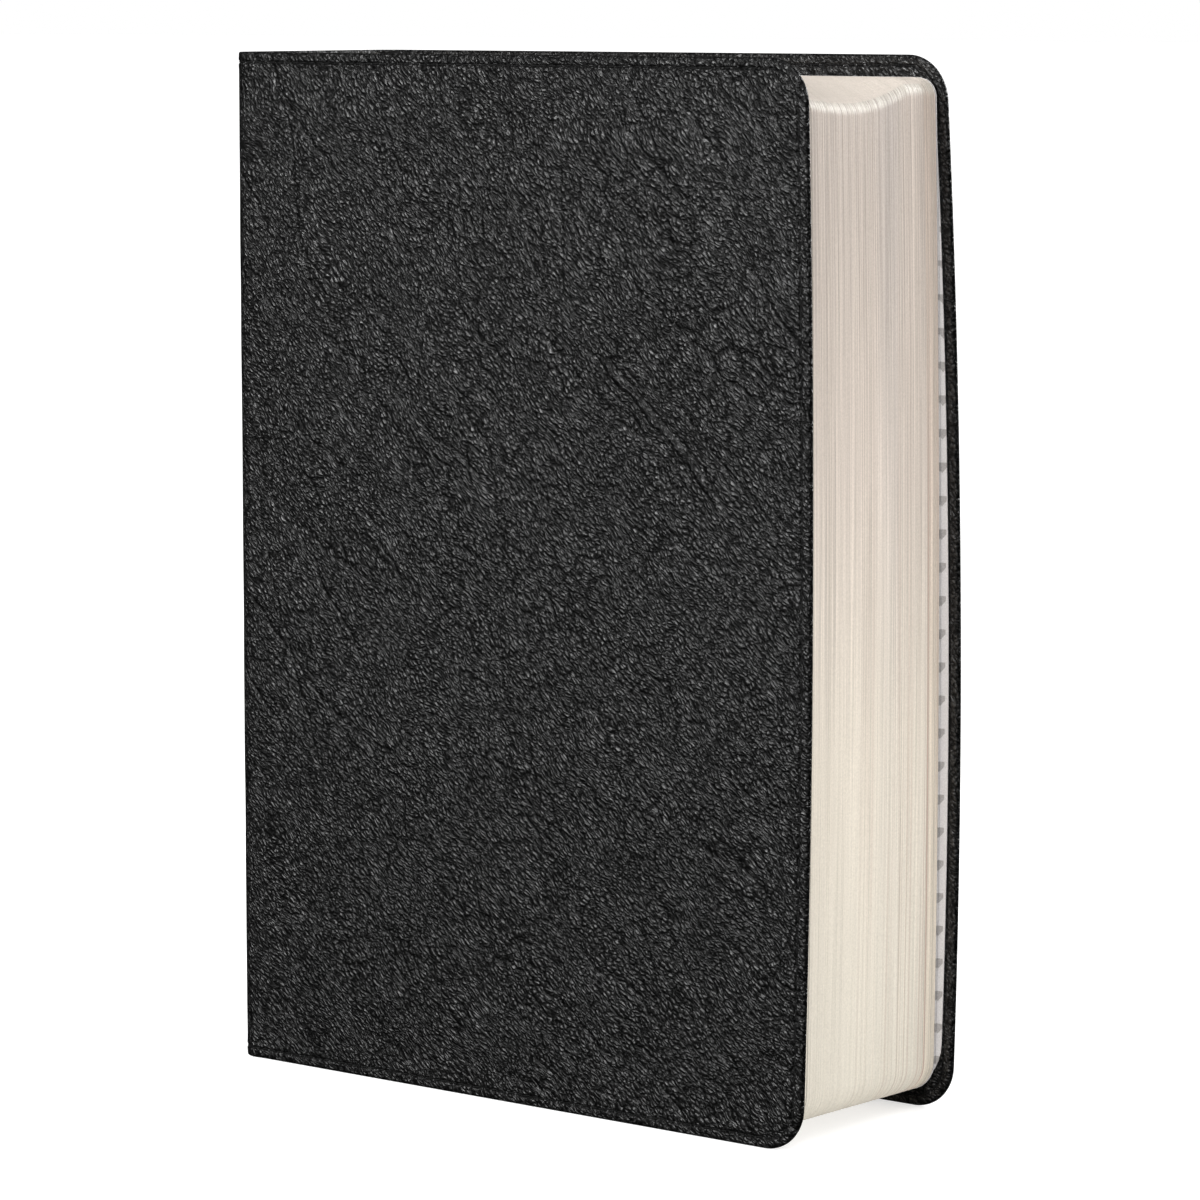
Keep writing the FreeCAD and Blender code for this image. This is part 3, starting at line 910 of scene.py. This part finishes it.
def page_material(name, tint, line_colour, line_strength):
    """Thin paper whose trimmed edges carry a pale silver-gilt; the leaves show as streaks, and a
    painted highlight lightens the rounding at the head corner.
    """
    material, tree, shader = new_material(name, **{"Metallic": 0.06, "Specular_IOR_Level": 0.3})
    place = rest_coordinates(tree)
    hair = streaks(tree, place, 5200.0, 20.0)
    fine = streaks(tree, place, 2500.0, 12.0)
    broad = streaks(tree, place, 520.0, 7.0)
    axis = add_node(tree, "ShaderNodeSeparateXYZ", {"Vector": place}).outputs
    facing = add_node(tree, "ShaderNodeNewGeometry").outputs["Normal"]
    upward = add_node(tree, "ShaderNodeSeparateXYZ", {"Vector": facing}).outputs["Z"]
    height = plain_range(tree, axis["Z"], PAGE_LOW, PAGE_HIGH)
    base = colour_ramp(tree, height, GILT_FROM_TAIL)
    colour = mix_colours(tree, 1.0, base, (*tint, 1.0), "MULTIPLY")
    towards_back = plain_range(tree, axis["Y"], -0.010, 0.024)
    boldness = smooth_range(tree, height, 0.05, 0.75, 0.30, 1.0)
    back_boldness = math_node(tree, "MULTIPLY", towards_back, 0.8)
    boldness = math_node(tree, "MAXIMUM", boldness, back_boldness)
    for factor, dark, light in ((hair, 0.86, 1.10), (fine, 0.70, 1.19), (broad, 0.92, 1.06)):
        tone = colour_ramp(tree, factor, [(0.3, dark), (0.7, light)])
        colour = mix_colours(tree, boldness, colour, tone, "MULTIPLY")
    lines = streaks(tree, place, 1100.0, 4.0, 1.0)
    line_mask = colour_ramp(tree, lines, [(0.56, 0.0), (0.64, 1.0)])
    towards_tail = plain_range(tree, height, 0.85, 0.25, 0.20, 1.0)
    amount = math_node(tree, "MULTIPLY", towards_back, towards_tail)
    amount = math_node(tree, "MULTIPLY", amount, line_strength)
    amount = math_node(tree, "MULTIPLY", amount, line_mask)
    colour = mix_colours(tree, amount, colour, (*line_colour, 1.0))
    off_band = math_node(tree, "ABSOLUTE", math_node(tree, "SUBTRACT", axis["Y"], GREY_BAND_Y))
    grey_band = smooth_range(tree, off_band, 0.0015, 0.006, 0.75, 0.0)
    colour = mix_colours(tree, math_node(tree, "MULTIPLY", grey_band, height), colour,
                         GREY_BAND_TINT, "MULTIPLY")
    polish = noise_value(tree, stretched(tree, place, (0.0006, 0.05, 0.0006)), 1.0, 2.0)
    flat = smooth_range(tree, upward, 0.70, 0.74)
    flat_colour = colour_ramp(tree, polish, FLAT_GILT)
    colour = mix_colours(tree, flat, colour, flat_colour)
    # Painted highlight: the rounding between the fore-edge and the cut flat is lightened, in
    # streaks.
    rounded = math_node(tree, "SUBTRACT", smooth_range(tree, upward, 0.06, 0.40), flat)
    highlight_streaks = colour_ramp(tree, fine, [(0.36, 0.0), (0.60, 1.0)])
    rounded = math_node(tree, "MULTIPLY", rounded, highlight_streaks)
    colour = mix_colours(tree, rounded, colour, ROUNDED_HIGHLIGHT)
    speckle = noise_value(tree, place, 2200.0, 2.0, 0.6)
    speckle_tone = colour_ramp(tree, speckle, [(0.3, 0.92), (0.7, 1.07)])
    colour = mix_colours(tree, 1.0, colour, speckle_tone, "MULTIPLY")
    tree.links.new(colour, shader.inputs["Base Color"])
    bump_height = math_node(tree, "ADD", hair, math_node(tree, "MULTIPLY", fine, 1.5))
    add_bump(tree, shader, bump_height, 0.00008)
    rough = colour_ramp(tree, fine, [(0.2, 0.56), (0.8, 0.44)])
    tree.links.new(rough, shader.inputs["Roughness"])
    return material


MARK_PITCH = 7.6 * MM
MARK_OFFSET = 0.8 * MM         # the outermost column of marks, from the sheet's fore-edge
MARK_HALF_WIDTH = 1.3 * MM
MARK_HALF_HEIGHT = 1.2 * MM
MARK_TAPER = 1.04              # rise of the mark's lower edges per unit across


def endpaper_material():
    """Light grey printed endpaper with small dark shield marks in even rows and columns."""
    material, tree, shader = new_material("printed_endpaper", **{"Specular_IOR_Level": 0.3})
    place = object_coordinates(tree)
    pitch = MARK_PITCH
    axis = add_node(tree, "ShaderNodeSeparateXYZ", {"Vector": place}).outputs
    u = math_node(tree, "SUBTRACT", axis["X"], FORE_X - PASTEDOWN_MARGIN - MARK_OFFSET)
    row = math_node(tree, "DIVIDE", axis["Z"], pitch)
    row_start = math_node(tree, "FLOOR", row)
    v = math_node(tree, "SUBTRACT", math_node(tree, "SUBTRACT", row, row_start), 0.5)
    v = math_node(tree, "MULTIPLY", v, pitch)
    column = math_node(tree, "DIVIDE", u, pitch)
    u = math_node(tree, "SUBTRACT", column, math_node(tree, "ROUND", column))
    u = math_node(tree, "ABSOLUTE", math_node(tree, "MULTIPLY", u, pitch))
    inside = math_node(tree, "LESS_THAN", u, MARK_HALF_WIDTH)
    below_top = math_node(tree, "LESS_THAN", v, MARK_HALF_HEIGHT)
    point = math_node(tree, "SUBTRACT", math_node(tree, "MULTIPLY", u, MARK_TAPER),
                      MARK_HALF_HEIGHT)
    above_point = math_node(tree, "GREATER_THAN", v, point)
    mark = math_node(tree, "MULTIPLY", math_node(tree, "MULTIPLY", inside, below_top), above_point)
    speckle = noise_value(tree, place, 2600.0, 4.0, 0.7)
    paper = colour_ramp(tree, speckle, [(0.3, (0.46, 0.44, 0.435)),
                                        (0.7, (0.60, 0.58, 0.575))])
    ink = colour_ramp(tree, speckle, [(0.3, (0.25, 0.235, 0.225)),
                                      (0.7, (0.37, 0.355, 0.345))])
    tree.links.new(mix_colours(tree, mark, paper, ink), shader.inputs["Base Color"])
    fibre = noise_value(tree, place, 1800.0, 5.0, 0.7)
    add_bump(tree, shader, fibre, 0.00003, 0.8)
    rough = colour_ramp(tree, fibre, [(0.2, 0.8), (0.8, 0.6)])
    tree.links.new(rough, shader.inputs["Roughness"])
    return material


def fibre_material(name, dark, light, scale, weave=0.0, roughness=0.8):
    """Plain paper, card, gauze, tape and thread: speckled fibre, woven at the scale of weave."""
    material, tree, shader = new_material(name, **{"Specular_IOR_Level": 0.2})
    place = object_coordinates(tree)
    speckle = noise_value(tree, place, scale, 4.0, 0.65)
    relief = speckle
    if weave:
        warp = add_node(tree, "ShaderNodeTexWave", {"Vector": place, "Scale": weave},
                        bands_direction="Y").outputs["Fac"]
        weft = add_node(tree, "ShaderNodeTexWave", {"Vector": place, "Scale": weave},
                        bands_direction="Z").outputs["Fac"]
        relief = math_node(tree, "MULTIPLY", math_node(tree, "MAXIMUM", warp, weft), speckle)
    tone = colour_ramp(tree, relief, [(0.2, dark), (0.75, light)])
    tree.links.new(tone, shader.inputs["Base Color"])
    add_bump(tree, shader, relief, 0.0001, 0.8)
    rough = colour_ramp(tree, speckle, [(0.2, roughness), (0.8, roughness - 0.15)])
    tree.links.new(rough, shader.inputs["Roughness"])
    return material


FLOOR_GLOW = 0.6


def floor_material():
    """A pale matte studio floor that glows enough to come out white."""
    material, tree, shader = new_material(
        "pale_floor", **{"Specular_IOR_Level": 0.1, "Emission_Strength": FLOOR_GLOW})
    place = object_coordinates(tree)
    cloud = noise_value(tree, place, 3.0, 2.0, 0.5)
    tone = colour_ramp(tree, cloud, [(0.3, 0.55), (0.7, 0.57)])
    tree.links.new(tone, shader.inputs["Base Color"])
    rough = colour_ramp(tree, cloud, [(0.3, 0.9), (0.7, 0.95)])
    tree.links.new(rough, shader.inputs["Roughness"])
    return material


# ---- assembly
LEATHER = leather_material()
THREAD = thread_material()
PAGES = page_material("gilt_pages", (1.0, 1.0, 1.0), (0.46, 0.36, 0.30), 0.75)
BACK_PAGES = page_material("gilt_map_pages", (0.99, 0.955, 0.93), (0.42, 0.30, 0.25), 0.95)
ENDPAPER = endpaper_material()
LEAF_PAPER = fibre_material("leaf_paper", (0.43, 0.405, 0.36), (0.49, 0.465, 0.415), 1200.0)
CARD = fibre_material("grey_card", (0.22, 0.2, 0.17), (0.36, 0.33, 0.29), 1500.0)
KRAFT = fibre_material("kraft_paper", (0.33, 0.25, 0.17), (0.5, 0.4, 0.29), 1800.0)
GAUZE = fibre_material("gauze", (0.42, 0.4, 0.35), (0.8, 0.77, 0.7), 2500.0, 420.0)
LINEN = fibre_material("linen_tape", (0.5, 0.46, 0.38), (0.82, 0.78, 0.69), 2500.0, 700.0)
COTTON = fibre_material("sewing_cotton", (0.6, 0.58, 0.52), (0.9, 0.88, 0.83), 3000.0, 1500.0)
BAND_CLOTH = fibre_material("band_cloth", (0.008, 0.008, 0.008), (0.03, 0.03, 0.03),
                            3000.0, 1200.0, 0.6)

MIDDLE_SECTIONS = 22

NODE_MATERIALS = {
    "front_cover_card": CARD, "back_cover_card": CARD, "spine_card": CARD,
    "spine_hollow_tube": KRAFT, "spine_mull": GAUZE, "sewing_tapes": LINEN, "sewing_thread": COTTON,
}


def build_covers():
    for name, side in SIDES.items():
        hide = cover_hide(name + "_hide", side, LEATHER)
        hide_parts(name + "_cover_leather")
        bend_at_hinge(hide)
        stitches = cover_stitches(name + "_edge_stitches", side, THREAD)
        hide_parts(name + "_cover_stitching")
        bend_at_hinge(stitches)
        pasted_endpaper(name, side, ENDPAPER)
        endpaper_strip(name, side, ENDPAPER)
        flyleaf(name, ENDPAPER)
    spine = spine_hide("spine_hide", LEATHER)
    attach(spine, "text_block")
    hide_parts("spine_leather")
    thread = spine_stitches("spine_edge_stitches", THREAD)
    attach(thread, "text_block")
    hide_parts("spine_stitching")


def build_block():
    for number in range(1, MIDDLE_SECTIONS + 1):
        text_section(number, PAGES)
    for index in (1, 2):
        turning_section("front", index, PAGES, 4, 0.03 * MM)
        turning_section("back", index, BACK_PAGES, 6, 0.06 * MM)
    band("headband", BAND_CLOTH)
    band("tailband", BAND_CLOTH)


def finish_cad_nodes():
    """Materials for the hidden CAD pieces that no mesh here replaces."""
    for node, material in NODE_MATERIALS.items():
        for slot in frame["nodes"][node].material_slots:
            slot.material = material


# ---- studio
def build_floor():
    """The floor. Glossy rays miss it, like the world, so that it can't veil the leather."""
    reach = 20
    corners = [(-reach, -reach, 0), (reach, -reach, 0), (reach, reach, 0), (-reach, reach, 0)]
    floor = make_object("studio_floor", corners, [(0, 1, 2, 3)], floor_material(), smooth=False)
    floor.visible_glossy = False


def build_world():
    """An even white studio. Glossy rays miss it, so the leather's sheen comes from the lamps."""
    world = bpy.data.worlds.new("studio")
    bpy.context.scene.world = world
    world.use_nodes = True
    backdrop = world.node_tree.nodes["Background"]
    backdrop.inputs["Color"].default_value = (1.0, 1.0, 1.0, 1.0)
    backdrop.inputs["Strength"].default_value = 1.0
    world.cycles_visibility.glossy = False


def add_area_light(name, place, target, size, power):
    light = bpy.data.lights.new(name, "AREA")
    light.shape = "RECTANGLE"
    light.size, light.size_y = size
    light.energy = power
    lamp = bpy.data.objects.new(name, light)
    lamp.location = place
    lamp.rotation_euler = (Vector(target) - Vector(place)).to_track_quat("-Z", "Y").to_euler()
    bpy.context.scene.collection.objects.link(lamp)


# Area lights: name, place, target, size and watts.
AREA_LIGHTS = (
    ("key", (-0.22, -0.92, 0.50), (0.0, 0.0, 0.16), (0.22, 0.22), 7.2),
    ("side_key", (0.32, -1.05, 0.55), (0.04, 0.0, 0.12), (0.25, 0.25), 4),
    ("back_key", (0.22, 0.92, 0.50), (0.0, 0.0, 0.16), (0.22, 0.22), 6),
    ("fore_edge_fill", (1.6, -0.9, 0.7), (0.0, 0.0, HEIGHT / 2), (1.0, 1.2), 2),
)


def build_lights():
    for settings in AREA_LIGHTS:
        add_area_light(*settings)
    sun = bpy.data.lights.new("overhead", "SUN")
    sun.energy = 0.8
    sun.angle = math.radians(70)
    lamp = bpy.data.objects.new("overhead", sun)
    lamp.rotation_euler = (math.radians(12), math.radians(8), 0)
    bpy.context.scene.collection.objects.link(lamp)


LENS = 147.04                  # mm
SENSOR_WIDTH = 36.0            # mm
FAR_CLIP = 100.0
EYE_AZIMUTH, EYE_ELEVATION = 38.235, 7.078     # degrees
EYE_PLACE = (0.7036, -0.8880, 0.2551)


def build_camera():
    camera = bpy.data.cameras.new("camera")
    camera.lens = LENS
    camera.sensor_width = SENSOR_WIDTH
    camera.clip_end = FAR_CLIP
    eye = bpy.data.objects.new("camera", camera)
    azimuth, elevation = math.radians(EYE_AZIMUTH), math.radians(EYE_ELEVATION)
    eye.location = EYE_PLACE
    eye.rotation_euler = (math.pi / 2 - elevation, 0, azimuth)
    bpy.context.scene.collection.objects.link(eye)
    bpy.context.scene.camera = eye


build_covers()
build_block()
finish_cad_nodes()
build_floor()
build_world()
build_lights()
build_camera()
bpy.context.scene.view_settings.view_transform = "Standard"
